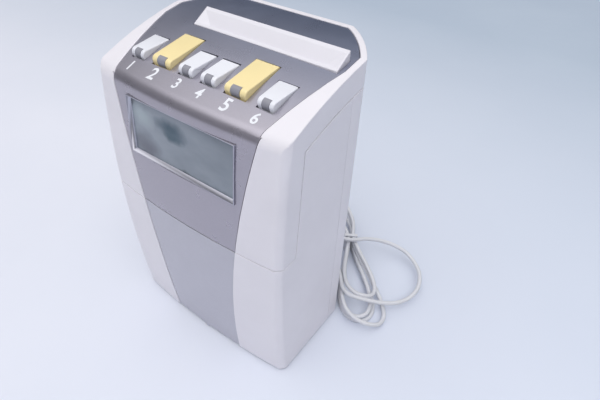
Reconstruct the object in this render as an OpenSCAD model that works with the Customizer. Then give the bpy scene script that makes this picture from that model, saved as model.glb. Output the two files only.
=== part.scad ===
// Desk time clock with a card slot, six hinged keys and a display, all in millimetres.
// X points right, Y to the back and Z up. The origin is on the table, under the middle of the case.

/* [Case] */
// Width of the case
case_w = 150; // [146:1:160]
// Depth of the case, from its foremost point to its back
case_d = 113; // [111:1:120]
// Height of the case at its back edge
case_h = 228.9; // [226:0.1:234]
// Wall of the outer shells
wall = 2.5; // [2:0.1:3]
// Height of the rubber feet
foot_h = 2; // [1.5:0.1:4]
// Radius of a rubber foot
foot_r = 6; // [4:0.5:8]
// Radius of the bow across the front, seen from above
front_bow_r = 600; // [500:10:900]
// Radius of the bow down the front, seen from the side
front_lean_r = 850; // [780:10:1200]
// Height of the foremost point of the front
front_lean_z = 97; // [88:1:106]
// Radius of the top's slope, seen from the side
top_r = 270; // [260:5:300]
// How far behind the case the top's slope would peak
top_peak_back = 6; // [5:0.5:10]
// Round of the edge between the front and the top
top_edge_r = 11; // [9:0.5:12]
// Round of the upright front corners
corner_r = 8; // [6:0.5:10]
// Radius of the slanted rear corners
rear_corner_r = 98; // [90:1:130]
// Where the slant starts on the sides
rear_slant_y = 25.5; // [22:0.5:28]
// Where the slant ends on the back
rear_slant_x = 47; // [44:1:50]

/* [Cover and panels] */
// Height of the seam across the front
seam_z = 118; // [114:1:124]
// Place of the upright seam between the case and the rear cover
rear_seam_y = 14; // [10:1:18]
// Place of the cover's upright seam on the sides, at the front seam's height
side_seam_y = -35; // [-38:1:-32]
// How far that seam leans back on its way up
side_seam_lean = 5; // [2:0.5:8]
// Depth of the cover below the top, measured on the sides
cover_skirt = 17.4; // [14:0.1:20]
// Gap in the seams around the lift-off cover
seam_gap = 0.4; // [0.2:0.05:0.5]
// Half width of the front panels at the table
panel_foot_w = 34.1; // [30:0.1:38]
// Radius of the front panels' curved sides
panel_side_r = 900; // [800:10:1200]
// Width of the white rim at the sides
rim_side = 4.5; // [3.5:0.1:6]
// Width of the white rim at the back
rim_back = 3.8; // [3:0.1:6]
// How far the panels lie below the shells around them
panel_sink = 0.5; // [0.2:0.1:1]
// Gap around the panels
panel_gap = 0.4; // [0.15:0.05:0.5]
// Width of the raised keel on the lower panel
keel_w = 22; // [14:1:30]
// Height of the keel at the table
keel_h = 1; // [0.4:0.1:1.6]

/* [Display] */
// Width of the display opening
win_w = 88; // [80:1:92]
// Height of the display opening
win_h = 39; // [34:0.5:42]
// Sideways place of its middle
win_x = -0.5; // [-3:0.5:3]
// Height of its middle
win_z = 176; // [172:0.5:177]
// Depth of the bezel's edge behind the panel
bezel_sink = 0.6; // [0.4:0.1:1.2]
// Width of the bezel's rim
bezel_rim = 2; // [1.6:0.1:3]
// Thickness of the window
window_t = 1.5; // [1:0.1:2]

/* [Keys] */
// Width of a white key
key_w = 13; // [10:0.5:14]
// Width of a yellow key
wide_key_w = 17.3; // [14:0.1:18]
// Distance of the two middle keys from the centre line
key_x1 = 8.8; // [8:0.1:10]
// Distance of the yellow keys from the centre line
key_x2 = 28.8; // [27.5:0.1:30]
// Distance of the outer keys from the centre line
key_x3 = 49.7; // [48:0.1:51]
// Place of the keys' front ends
key_front_y = -31.5; // [-33:0.1:-30]
// Place of the white keys' rear ends
key_back_y = -12.1; // [-14:0.1:-10]
// Place of the yellow keys' rear ends
wide_key_back_y = -3.8; // [-6:0.1:-2]
// Height of a key's front above the panel
key_rise = 4; // [3.8:0.1:5]
// How much a key narrows towards its front, on each side
key_taper = 1; // [0:0.1:1.2]
// Round of a key's front edge
key_edge_r = 3; // [1.5:0.1:3.5]
// Gap around a key
key_gap = 0.35; // [0.25:0.05:0.5]
// Radius of the key pins
key_pin_r = 1.2; // [1:0.05:1.5]

/* [Card path] */
// Width of a time card
card_w = 86; // [80:1:88]
// Depth of the card channel
card_gap = 5; // [4.6:0.1:6]
// Sideways place of the card's middle
card_x = 13.25; // [12:0.25:14]
// Place of the card's plane
card_y = 13.5; // [13:0.1:14]
// Height of the card stop
card_stop_z = 62; // [56:1:70]
// Width of the hopper over its rim
hopper_w = 108; // [104:1:110]
// Place of the hopper's front edge
hopper_front_y = 7.3; // [6.5:0.1:8]
// Place of the hopper's rear edge
hopper_back_y = 20; // [19:0.1:21]
// How far the hopper's rear rim stands above the panel
hopper_rise = 5.3; // [4:0.1:7]
// Wall of the hopper's rim
hopper_rim = 1; // [0.9:0.1:1.6]

/* [Mechanism] */
// Radius of the feed rollers
feed_r = 8; // [7:0.5:8.5]
// Height of the feed shaft
feed_z = 92; // [88:1:98]
// Radius of the feed shaft
shaft_r = 3; // [2.5:0.1:3.5]
// Running clearance of shafts and pins
run_gap = 0.05; // [0.02:0.01:0.08]
// Teeth on the feed gear
gear_teeth = 36; // [36:12:48]
// Teeth on the motor pinion
pinion_teeth = 12; // [12:4:16]
// Gear module
gear_module = 1; // [0.9:0.1:1]
// Radius of the pinch rollers
pinch_r = 5; // [4.5:0.1:5.5]
// Height of the carriage rods
rod_z = 118; // [114:1:120]
// Travel of the print carriage to each side
carriage_travel = 30; // [20:1:32]
// Radius of the belt pulleys
pulley_r = 5; // [4:0.5:6]

/* [Cord] */
// Diameter of the mains lead
cord_d = 3.6; // [3.4:0.1:3.7]
// Clear space between two turns of the hank, one above the other
turn_gap = 0.8; // [0.7:0.1:1]

/* [Hidden] */
$fn = 48;
smooth_fn = 360;

// The places below are those of a case of this size, and they move with its width, depth and height
design = [150, 113, 228.9];
wide = case_w / design.x;
deep = case_d / design.y;
tall = case_h / design.z;
lean_z = front_lean_z * tall;
seam_h = seam_z * tall;
rear_seam = rear_seam_y * deep;
side_seam = side_seam_y * deep;
panel_foot = panel_foot_w * wide;
view_w = win_w * wide;
view_h = win_h * tall;
view_x = win_x * wide;
view_z = win_z * tall;
narrow_key = key_w * wide;
broad_key = wide_key_w * wide;
key_inner = key_x1 * wide;
key_middle = key_x2 * wide;
key_outer = key_x3 * wide;
keys_front = key_front_y * deep;
keys_back = key_back_y * deep;
broad_keys_back = wide_key_back_y * deep;
card_width = card_w * wide;
card_mid = card_x * wide;
card_plane = card_y * deep;
stop_z = card_stop_z * tall;
hopper_width = hopper_w * wide;
hopper_front = hopper_front_y * deep;
hopper_back = hopper_back_y * deep;
shaft_z = feed_z * tall;
rods_z = rod_z * tall;

// Colours
white_c = [0.87, 0.87, 0.89];
panel_c = [0.52, 0.51, 0.54];
lower_panel_c = [0.62, 0.62, 0.66];
yellow_c = [0.98, 0.84, 0.5];
key_c = [0.92, 0.93, 0.96];
mark_c = [0.45, 0.45, 0.5];
steel_c = [0.7, 0.71, 0.73];
dark_c = [0.2, 0.2, 0.22];
board_c = [0.16, 0.38, 0.22];
cord_c = [0.86, 0.86, 0.86];

// Sheet sizes shared by several pieces
sheet = 1.5;
board_t = 1.6;
far_cut = 400;
skin = 1;

// Case geometry
half_w = case_w / 2;
front_y = -case_d / 2;
back_y = case_d / 2;
bow_axis_y = front_y + front_bow_r;
lean_c = [front_y + front_lean_r, lean_z];
top_c = [back_y + top_peak_back, case_h - sqrt(pow(top_r, 2) - pow(top_peak_back, 2))];
slant_side = [half_w, rear_slant_y * deep];
slant_back = [rear_slant_x * wide, back_y];
slant_round = 5;
slant_steps = 8;
base_top = foot_h + wall;
corner_bite = 0.3;
front_steps = 8;
edge_steps = 6;
top_steps = 8;

// Centre of the round between front and top, where the two inset arcs cross
function cross_point(a, ra, b, rb) =
    let (d = norm(b - a), e = (b - a) / d, along = (ra * ra - rb * rb + d * d) / (2 * d))
    a + along * e + sqrt(ra * ra - along * along) * [e.y, -e.x];
edge_c = cross_point(lean_c, front_lean_r - top_edge_r, top_c, top_r - top_edge_r);
lean_edge_a = atan2(edge_c.y - lean_c.y, edge_c.x - lean_c.x);
top_edge_a = atan2(edge_c.y - top_c.y, edge_c.x - top_c.x);

function arc(c, r, a0, a1, n) =
    [for (i = [0 : n]) let (a = a0 + (a1 - a0) * i / n) c + r * [cos(a), sin(a)]];

// Heights and depths of the outer skin, t below the surface
function bowed(x, y) = bow_axis_y - sqrt(x * x + pow(bow_axis_y - y, 2));
function top_z(x, y, t) = top_c.y + sqrt(pow(top_r - t, 2) - pow(bowed(x, y) - top_c.x, 2));
function front_at(z, t) = lean_c.x - sqrt(pow(front_lean_r - t, 2) - pow(z - lean_c.y, 2));

// Side view of the case, t below its surface, from height z0 up
function side_profile(t, z0) = concat(
    arc(lean_c, front_lean_r - t, 180 - asin((z0 - lean_c.y) / (front_lean_r - t)), lean_edge_a, front_steps),
    arc(edge_c, top_edge_r - t, lean_edge_a, top_edge_a, edge_steps),
    arc(top_c, top_r - t, top_edge_a, acos((back_y + wall - top_c.x) / (top_r - t)), top_steps),
    [[back_y + wall, z0]]
);

// Slanted rear corner, from the side to the back
slant_c = cross_point(slant_back, rear_corner_r, slant_side, rear_corner_r);
function slant_turn(p) = atan2(p.y - slant_c.y, p.x - slant_c.x);
slant_arc = arc(slant_c, rear_corner_r, slant_turn(slant_side), slant_turn(slant_back), slant_steps);

// The case seen from above, drawn in by t, open to the front
module plan_corners(t) {
    start_y = front_y - wall - slant_round;
    offset(delta = -t)
        polygon(concat(
            [[-half_w, start_y], [half_w, start_y]],
            slant_arc,
            [for (i = [slant_steps : -1 : 0]) [-slant_arc[i].x, slant_arc[i].y]]
        ));
}

module plan_outline(t) {
    offset(r = slant_round - t)
        plan_corners(slant_round);
}

// Rounds the upright front corners along the lean of the front
module corner_ring(t) {
    ring_x = half_w - corner_r + corner_bite;
    ring_r = front_lean_r - pow(ring_x, 2) / (2 * front_bow_r) - corner_r + corner_bite;
    inner_r = front_lean_r - 2 * case_d;
    translate([0, lean_c.x, lean_c.y])
        rotate([0, 90, 0])
            rotate_extrude($fn = smooth_fn) {
                translate([inner_r, -half_w])
                    square([ring_r - inner_r, case_w]);
                translate([inner_r, -ring_x])
                    square([ring_r - inner_r + 2 * corner_r, 2 * ring_x]);
                for (s = [-1, 1])
                    translate([ring_r, s * ring_x])
                        circle(corner_r - t);
            }
}

// The whole case as a solid, t below its surface, from height z0 up
module envelope(t, z0) {
    intersection() {
        translate([0, bow_axis_y, 0])
            rotate_extrude($fn = smooth_fn)
                polygon([for (p = side_profile(t, z0)) [bow_axis_y - p.x, p.y]]);
        translate([0, 0, z0])
            linear_extrude(case_h)
                plan_outline(t);
        corner_ring(t);
    }
}

module shell(t0, t1) {
    difference() {
        envelope(t0, foot_h);
        envelope(t1, foot_h - wall);
    }
}

// Seams
chamfer_back = 6;
function seam_arc(r) = arc(top_c, r, acos((side_seam + side_seam_lean + chamfer_back - top_c.x) / r),
    acos((back_y + 2 * wall - top_c.x) / r), top_steps);

// Region of the lift-off cover, moved by grow away from the case
module cover_region(grow) {
    seam_r = top_r - cover_skirt;
    seam_top = seam_arc(seam_r);
    lean_top = seam_top[0].y - side_seam_lean / 2;
    translate([0, -grow, grow])
        rotate([90, 0, 90])
            translate([0, 0, -case_w])
                linear_extrude(2 * case_w)
                    polygon(concat(
                        [[front_y - 2 * case_d, seam_h], [side_seam, seam_h]],
                        [[side_seam + side_seam_lean, lean_top]],
                        seam_top,
                        [[back_y + 2 * wall, 2 * case_h], [front_y - 2 * case_d, 2 * case_h]]
                    ));
}

// Front panels seen from the front, drawn in by gap
panel_arc_z = -2.5;
module panel_front(gap, z0, z1) {
    rotate([90, 0, 0])
        linear_extrude(case_d)
            difference() {
                translate([-half_w, z0])
                    square([case_w, z1 - z0]);
                for (s = [-1, 1])
                    translate([s * (panel_foot + panel_side_r), panel_arc_z])
                        circle(panel_side_r + gap, $fn = smooth_fn);
            }
}

// The plane through the front's upper edge that parts the panel's front from its top
part_y = edge_c.x - top_edge_r / 2;
part_z = edge_c.y + top_edge_r / 2;
panel_edge_x = panel_foot + pow(part_z - panel_arc_z, 2) / (2 * panel_side_r);
panel_wide_x = half_w - rim_side;
panel_wide_y = rear_seam - 3.5;
part_slope = -45;
part_bite = 0.2;
module half_space(below) {
    translate([0, part_y, part_z])
        rotate([part_slope, 0, 0])
            translate([-far_cut / 2, -far_cut / 2, below ? part_bite - far_cut : 0])
                cube(far_cut);
}

// The panel's top seen from above, drawn in by gap
module panel_top(gap) {
    lean = (panel_wide_x - panel_edge_x) / (panel_wide_y - part_y);
    start_y = front_y - wall;
    start_x = panel_edge_x - lean * (part_y - start_y);
    linear_extrude(2 * case_h)
        intersection() {
            polygon([
                [-start_x + gap, start_y], [start_x - gap, start_y],
                [panel_wide_x - gap, panel_wide_y], [panel_wide_x - gap, back_y],
                [-panel_wide_x + gap, back_y], [-panel_wide_x + gap, panel_wide_y]
            ]);
            plan_corners(rim_back + gap);
        }
}

module control_region(gap) {
    intersection() {
        panel_front(gap, seam_h - case_d, case_h);
        half_space(true);
    }
    intersection() {
        panel_top(gap);
        half_space(false);
    }
}

// Base

foot_front = [half_w - 18, -34 * deep];
foot_back = [half_w - 30, 36 * deep];
foot_spots = [for (s = [-1, 1]) for (p = [foot_front, foot_back]) [s * p.x, p.y]];
boss_r = 4;
boss_h = 10;
boss_x = half_w - wall - boss_r;
boss_y = [-28 * deep, 4 * deep];
boss_spots = [for (s = [-1, 1]) for (y = boss_y) [s * boss_x, y]];
screw_r = 1.5;
screw_head_r = 2.8;
screw_head_h = 1.6;
screw_l = 9;
fit_gap = 0.1;
rear_screw_x = 28 * wide;
rear_screw_z = 12;
upstand_w = 10;
upstand_d = 9;
upstand_h = 14;
upstand_back = back_y - wall - fit_gap;

module screw() {
    cylinder(r = screw_head_r, h = screw_head_h);
    cylinder(r = screw_r, h = screw_l);
}

module base_plate() {
    color(white_c)
        difference() {
            union() {
                intersection() {
                    envelope(wall + fit_gap, foot_h);
                    translate([-case_w, -case_d, foot_h])
                        cube([2 * case_w, 2 * case_d, wall]);
                }
                for (s = [-1, 1])
                    translate([s * rear_screw_x - upstand_w / 2, upstand_back - upstand_d, base_top - skin])
                        cube([upstand_w, upstand_d, upstand_h + skin]);
            }
            for (p = boss_spots)
                translate([p.x, p.y, foot_h - skin]) {
                    cylinder(r = screw_r + fit_gap, h = wall + 2 * skin);
                    cylinder(r = screw_head_r + fit_gap, h = skin + screw_head_h + fit_gap);
                }
            for (s = [-1, 1])
                translate([s * rear_screw_x, upstand_back + skin, rear_screw_z])
                    rotate([90, 0, 0])
                        cylinder(r = screw_r + fit_gap, h = screw_l + skin);
        }
}

module rubber_feet() {
    color(dark_c)
        for (p = foot_spots)
            translate([p.x, p.y, 0])
                cylinder(r = foot_r, h = foot_h);
}

module base_screws() {
    color(steel_c)
        for (p = boss_spots)
            translate([p.x, p.y, foot_h])
                screw();
}

// Outer shells

module below_cover() {
    difference() {
        shell(0, wall);
        cover_region(0);
    }
}

// A sill behind the lower panel joins the two sides of the case
sill_half = 48 * wide;
sill_h = 10;
module lower_case() {
    color(white_c)
        difference() {
            union() {
                intersection() {
                    below_cover();
                    translate([-case_w, rear_seam - 2 * case_d, 0])
                        cube([2 * case_w, 2 * case_d, 2 * case_h]);
                }
                for (p = boss_spots)
                    translate([p.x, p.y, base_top]) {
                        cylinder(r = boss_r, h = boss_h);
                        translate([p.x > 0 ? 0 : -boss_r - skin, -boss_r / 2, 0])
                            cube([boss_r + skin, boss_r, boss_h]);
                    }
                intersection() {
                    shell(wall / 2, 2 * wall);
                    translate([-sill_half, -case_d, base_top])
                        cube([2 * sill_half, case_d, sill_h]);
                }
            }
            difference() {
                panel_front(0, 0, seam_h + skin);
                envelope(wall + fit_gap, foot_h - wall);
            }
            for (p = boss_spots)
                translate([p.x, p.y, base_top - skin])
                    cylinder(r = screw_r + fit_gap, h = screw_l);
        }
}

board_half_w = 46 * wide;
board_z0 = 20 * tall;
board_z1 = 150 * tall;
board_front_y = back_y - wall - 7;
post_r = 3;
post_spots = [for (x = [-1, 1]) for (z = [board_z0 + 8, board_z1 - 8]) [x * (board_half_w - 12), z]];
gland_x = 2;
gland_z = 20;
gland_neck_r = 4;

module rear_cover() {
    color(white_c)
        difference() {
            union() {
                intersection() {
                    below_cover();
                    translate([-case_w, rear_seam + panel_gap, 0])
                        cube([2 * case_w, 2 * case_d, 2 * case_h]);
                }
                for (p = post_spots)
                    translate([p.x, board_front_y + board_t, p.y])
                        rotate([-90, 0, 0])
                            cylinder(r = post_r, h = back_y - skin - board_front_y - board_t);
            }
            translate([gland_x, back_y - 2 * wall, gland_z])
                rotate([-90, 0, 0])
                    cylinder(r = gland_neck_r + fit_gap, h = 3 * wall);
            for (s = [-1, 1])
                translate([s * rear_screw_x, back_y - 2 * wall, rear_screw_z])
                    rotate([-90, 0, 0]) {
                        cylinder(r = screw_r + fit_gap, h = 3 * wall);
                        translate([0, 0, 2 * wall - screw_head_h - fit_gap])
                            cylinder(r = screw_head_r + fit_gap, h = wall);
                    }
        }
}

module rear_screws() {
    color(steel_c)
        for (s = [-1, 1])
            translate([s * rear_screw_x, back_y, rear_screw_z])
                rotate([90, 0, 0])
                    screw();
}

keel_top = seam_h - 12;
keel_inset = 2;
keel_rise = keel_h + keel_inset;
module lower_front_panel() {
    keel_run = keel_top - foot_h;
    foot_y = front_at(foot_h, panel_sink);
    lean = atan((foot_y - front_at(keel_top, panel_sink) - keel_h) / keel_run);
    color(lower_panel_c) {
        intersection() {
            shell(panel_sink, wall);
            panel_front(panel_gap, 0, seam_h - panel_gap);
        }
        difference() {
            intersection() {
                envelope(-keel_h, foot_h);
                translate([0, foot_y - keel_h, foot_h])
                    rotate([-lean, 0, 0])
                        translate([0, 0, -keel_inset])
                            linear_extrude(keel_run + keel_inset)
                                polygon([[0, 0], [keel_w / 2, keel_rise], [-keel_w / 2, keel_rise]]);
            }
            envelope((panel_sink + wall) / 2, foot_h - wall);
        }
    }
}

module top_cover() {
    color(white_c)
        difference() {
            intersection() {
                shell(0, wall);
                cover_region(seam_gap);
            }
            control_region(0);
        }
}

// Keys

key_places = [-key_outer, -key_middle, -key_inner, key_inner, key_middle, key_outer];
key_wide = [false, true, false, false, true, false];
key_depth = 4;
key_heel = 0.3;
pivot_in = 2.8;
pivot_drop = 4.6;
lug_r = 2.4;
ear_t = 1.6;
ear_half = 3.2;
key_front_gap = 1;
key_back_gap = 0.9;
toe_out = 1.6;
toe_t = 1.3;
plunger_r = 1.6;
plunger_end = 9;
plunger_share = 0.62;
mark_share = 0.37;
key_reach = 10;
mark_len = 4;
mark_drop = 5;

function key_width(k) = key_wide[k] ? broad_key : narrow_key;
function key_back(k) = key_wide[k] ? broad_keys_back : keys_back;
function key_back_z(k) = top_z(key_places[k], key_back(k), panel_sink);
function key_front_z(k) = top_z(key_places[k], keys_front, panel_sink);
function key_tilt(k) = atan2(key_back_z(k) - key_front_z(k), key_back(k) - keys_front);
function key_len(k) = norm([key_back_z(k) - key_front_z(k), key_back(k) - keys_front]);

module in_key_frame(k) {
    translate([key_places[k], key_back(k), key_back_z(k)])
        rotate([key_tilt(k), 0, 0])
            children();
}

module across(w) {
    rotate([90, 0, 90])
        translate([0, 0, -w / 2])
            linear_extrude(w)
                children();
}

// A key's outline seen from above, narrower at the front, grown by gap
module key_plan(k, gap) {
    len = key_len(k);
    slope = key_taper / len;
    back_half = key_width(k) / 2 + gap + slope * key_reach;
    front_half = back_half - slope * (len + 2 * key_reach);
    translate([0, 0, -far_cut / 2])
        linear_extrude(far_cut)
            polygon([
                [-back_half, key_reach], [-front_half, -len - key_reach],
                [front_half, -len - key_reach], [back_half, key_reach]
            ]);
}

module key_block(k) {
    w = key_width(k);
    len = key_len(k);
    edge = [-len + key_edge_r, key_rise - key_edge_r];
    top_a = 90 - atan((key_rise - key_heel) / len);
    across(w)
        polygon(concat(
            [[0, -key_depth], [0, key_heel]],
            arc(edge, key_edge_r, top_a, 180, edge_steps),
            [[-len, -key_depth]]
        ));
    across(w - 2 * key_gap)
        polygon([
            [-len - toe_out, -key_depth], [-len + skin, -key_depth],
            [-len + skin, toe_t - key_depth], [-len - toe_out, toe_t - key_depth]
        ]);
    across(w)
        translate([-pivot_in, -pivot_drop])
            circle(lug_r);
    translate([0, -plunger_share * len, -plunger_end])
        cylinder(r = plunger_r, h = plunger_end - key_depth + skin);
}

module key_solid(k) {
    intersection() {
        key_block(k);
        key_plan(k, 0);
    }
}

module key_mark_space(k) {
    len = key_len(k);
    translate([-mark_share * key_width(k) / 2, -len - skin, key_rise - mark_drop])
        cube([mark_share * key_width(k), mark_len + skin, 2 * mark_drop]);
}

module key(k) {
    color(key_wide[k] ? yellow_c : key_c)
        in_key_frame(k)
            difference() {
                key_solid(k);
                key_mark_space(k);
                translate([0, -pivot_in, -pivot_drop])
                    rotate([0, 90, 0])
                        cylinder(r = key_pin_r + run_gap, h = 2 * broad_key, center = true);
            }
}

module key_mark(k) {
    color(mark_c)
        in_key_frame(k)
            intersection() {
                key_solid(k);
                key_mark_space(k);
            }
}

function ear_x(k) = key_width(k) / 2 + key_gap + ear_t / 2;
module key_ears(k) {
    in_key_frame(k)
        for (s = [-1, 1])
            translate([s * ear_x(k), 0, 0])
                across(ear_t)
                    polygon([
                        [-pivot_in - ear_half, -skin], [-pivot_in + ear_half, -skin],
                        [-pivot_in + ear_half, -pivot_drop - ear_half],
                        [-pivot_in - ear_half, -pivot_drop - ear_half]
                    ]);
}

module key_opening(k) {
    w = key_width(k) + 2 * key_gap;
    len = key_len(k);
    in_key_frame(k) {
        intersection() {
            translate([-w / 2, -len - key_front_gap, -pivot_drop - 2 * ear_half])
                cube([w, len + key_front_gap + key_back_gap, 2 * key_rise + pivot_drop + 2 * ear_half]);
            key_plan(k, key_gap);
        }
        translate([0, -pivot_in, -pivot_drop])
            rotate([0, 90, 0])
                cylinder(r = key_pin_r, h = 2 * ear_x(k) + ear_t, center = true);
    }
}

module key_pins() {
    color(steel_c)
        for (k = [0 : 5])
            in_key_frame(k)
                translate([0, -pivot_in, -pivot_drop])
                    rotate([0, 90, 0])
                        cylinder(r = key_pin_r, h = 2 * ear_x(k) + ear_t, center = true);
}

// Display

win_y = front_at(view_z, panel_sink);
win_tilt = asin((view_z - lean_c.y) / front_lean_r);
bezel_d = 6.6;
bezel_edge = 0.5;
flange_out = 4;
bezel_flange_w = view_w + 2 * flange_out;
bezel_flange_h = view_h + 2 * flange_out;
flange_t = 2;
lens_in = 2.4;
module_gap = 0.5;
module_t = 5;
module_out = 2;
bracket_in = 4;

module in_display_frame() {
    translate([view_x, win_y, view_z])
        rotate([-win_tilt, 0, 0])
            children();
}

// A plate in the display's frame: width, height, and its depth from y0 to y1
module display_plate(w, h, y0, y1) {
    translate([-w / 2, y0, -h / 2])
        cube([w, y1 - y0, h]);
}

bezel_back = bezel_sink + bezel_d;
lens_front = bezel_sink + lens_in;
lens_w = view_w - 2 * bezel_rim - 2 * fit_gap;
lens_h = view_h - 2 * bezel_rim - 2 * fit_gap;

// The bezel's sloping inside, cut across the size w of the opening
module bezel_slope(lens, view) {
    rise = (view - lens) / 2 - bezel_edge - fit_gap;
    polygon([
        [lens_front, -lens / 2], [lens_front, lens / 2],
        [bezel_sink, lens / 2 + rise], [0, lens / 2 + rise],
        [0, -lens / 2 - rise], [bezel_sink, -lens / 2 - rise]
    ]);
}

module display_bezel() {
    sight_w = lens_w - 2 * fit_gap;
    sight_h = lens_h - 2 * fit_gap;
    color(steel_c)
        in_display_frame()
            difference() {
                union() {
                    display_plate(view_w - 2 * fit_gap, view_h - 2 * fit_gap, bezel_sink, bezel_back);
                    display_plate(bezel_flange_w, bezel_flange_h, bezel_back - flange_t, bezel_back);
                }
                display_plate(lens_w, lens_h, lens_front + window_t - skin, bezel_back + skin);
                display_plate(sight_w, sight_h, 0, bezel_back);
                intersection() {
                    across(view_w)
                        bezel_slope(sight_h, view_h);
                    rotate([0, 0, 90])
                        linear_extrude(view_h, center = true)
                            bezel_slope(sight_w, view_w);
                }
            }
}

module display_window() {
    color([0.6, 0.7, 0.75, 0.6])
        in_display_frame()
            display_plate(lens_w - 2 * fit_gap, lens_h - 2 * fit_gap, lens_front, lens_front + window_t);
}

module_front = bezel_back + module_gap;
module_w = lens_w + 2 * module_out;
module_h = lens_h + 2 * module_out;
module display_module() {
    color([0.5, 0.56, 0.58])
        in_display_frame()
            display_plate(module_w, module_h, module_front, module_front + module_t);
}

display_board_w = module_w + 6;
display_board_h = module_h + 6;
module_back = module_front + module_t;
module display_board() {
    color(board_c)
        in_display_frame()
            display_plate(display_board_w, display_board_h, module_back, module_back + board_t);
}

// Card path

hopper_x0 = card_mid - hopper_width / 2;
hopper_front_z = top_z(card_mid, hopper_front, panel_sink);
hopper_back_z = top_z(card_mid, hopper_back, panel_sink) + hopper_rise;
hopper_base_z = hopper_front_z - 20;
slot_w = card_width + 3;
slot_y0 = card_plane - card_gap / 2;
slot_y1 = card_plane + card_gap / 2;
hopper_gap = 0.25;
throat = 1.9;
ramp_y = hopper_front + hopper_rim + throat;
ramp_slope = 1.07;
ramp_z = hopper_back_z - ramp_slope * (hopper_back - hopper_rim - ramp_y);

module hopper_side() {
    polygon([
        [hopper_front, hopper_base_z], [hopper_back, hopper_base_z],
        [hopper_back, hopper_back_z], [hopper_front, hopper_front_z]
    ]);
}

module card_hopper() {
    mouth_z = hopper_back_z + skin;
    mouth_half = hopper_width / 2 - hopper_rim;
    rim_lean = atan((hopper_back_z - hopper_front_z) / (hopper_back - hopper_front));
    end_depth = 40;
    end_dip = 2.2;
    deep = [hopper_base_z - skin, mouth_z];
    color(white_c)
        difference() {
            translate([card_mid, 0, 0])
                across(hopper_width)
                    hopper_side();
            intersection() {
                translate([card_mid, 0, 0])
                    across(2 * hopper_width)
                        polygon([
                            [slot_y0, deep[0]], [slot_y1, deep[0]], [ramp_y, ramp_z],
                            [hopper_back - hopper_rim, hopper_back_z], [hopper_back - hopper_rim, deep[1]],
                            [hopper_front + hopper_rim, deep[1]]
                        ]);
                translate([card_mid, hopper_front, hopper_front_z])
                    rotate([90 + rim_lean, 0, 0])
                        translate([0, 0, -case_d / 2])
                            linear_extrude(case_d)
                                polygon([
                                    [-slot_w / 2, -end_depth], [slot_w / 2, -end_depth],
                                    [slot_w / 2, -end_dip], [mouth_half, 0], [mouth_half, skin],
                                    [-mouth_half, skin], [-mouth_half, 0], [-slot_w / 2, -end_dip]
                                ]);
            }
        }
}

module control_panel() {
    color(panel_c)
        difference() {
            union() {
                intersection() {
                    shell(panel_sink, wall);
                    control_region(panel_gap);
                    cover_region(seam_gap);
                }
                intersection() {
                    for (k = [0 : 5])
                        key_ears(k);
                    envelope((panel_sink + wall) / 2, foot_h);
                }
            }
            for (k = [0 : 5])
                key_opening(k);
            in_display_frame()
                display_plate(view_w, view_h, -bezel_d, bezel_back);
            translate([hopper_x0 - hopper_gap, hopper_front - hopper_gap, hopper_base_z])
                cube([hopper_width + 2 * hopper_gap, hopper_back - hopper_front + 2 * hopper_gap, case_h]);
        }
}

// Frame that carries the mechanism

left_x = card_mid - card_width / 2 - 10;
right_x = card_mid + card_width / 2 + 5.5;
plate_front = -32 * deep;
plate_back = 30 * deep;
motor_plate_back = 43 * deep;
plate_top = 186 * tall;
nip_gap = 0.3;
feed_y = card_plane + nip_gap / 2 + feed_r;
rod_ys = [-8 * deep, -22 * deep];
rod_r = 3;
pinch_open = 4;
pinch_y = card_plane - nip_gap / 2 - pinch_r;
pinch_pivot = [pinch_y - 8, shaft_z - 14];
pinch_pin_r = 1.5;
bore_spots = concat([[feed_y, shaft_z, shaft_r + run_gap]],
    [for (y = rod_ys) [y, rods_z, rod_r + run_gap]],
    [[pinch_pivot.x, pinch_pivot.y, pinch_pin_r + run_gap]]);

module chassis_plate(x, back) {
    color(steel_c)
        difference() {
            translate([x, plate_front, base_top])
                cube([sheet, back - plate_front, plate_top - base_top]);
            for (b = bore_spots)
                translate([x - skin, b.x, b.y])
                    rotate([0, 90, 0])
                        cylinder(r = b.z, h = sheet + 2 * skin);
            children();
        }
}

centre_distance = gear_module * (gear_teeth + pinion_teeth) / 2;
mesh_lean = 27;
pinion_y = feed_y + centre_distance * sin(mesh_lean);
pinion_z = shaft_z - centre_distance * cos(mesh_lean);
motor_shaft_r = 1;

module chassis_left() {
    chassis_plate(left_x, motor_plate_back)
        translate([left_x - skin, pinion_y, pinion_z])
            rotate([0, 90, 0])
                cylinder(r = motor_shaft_r + skin, h = sheet + 2 * skin);
}

module chassis_right() {
    chassis_plate(right_x, plate_back);
}

board_drop = 15.6;
board_front = 26 * deep;
board_rear = 8 * deep;
key_board_w = 2 * key_outer + 18;
switch_side = 6;
switch_h = 4;
button_r = 1.6;
button_h = 0.4;
bridge_front = -30 * deep;
bridge_back = 6 * deep;
bridge_post_r = 3;
bridge_posts = [for (x = [left_x + 5, right_x - 5]) for (y = [bridge_front + 4, bridge_back - 8]) [x, y]];

// Frame of the key board: square to the white keys beside the centre line
module in_board_frame() {
    translate([0, key_back(2), key_back_z(2)])
        rotate([key_tilt(2), 0, 0])
            translate([0, 0, -board_drop])
                children();
}

module chassis_bridge() {
    color(steel_c)
        difference() {
            union() {
                translate([left_x, bridge_front, plate_top])
                    cube([right_x + sheet - left_x, bridge_back - bridge_front, sheet]);
                for (p = bridge_posts)
                    translate([p.x, p.y, plate_top])
                        cylinder(r = bridge_post_r, h = case_h - plate_top);
            }
            in_board_frame()
                translate([-far_cut / 2, -far_cut / 2, -board_t])
                    cube(far_cut);
        }
}

module key_board() {
    color(board_c)
        in_board_frame()
            translate([-key_board_w / 2, -board_front, -board_t])
                cube([key_board_w, board_front + board_rear, board_t]);
}

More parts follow.
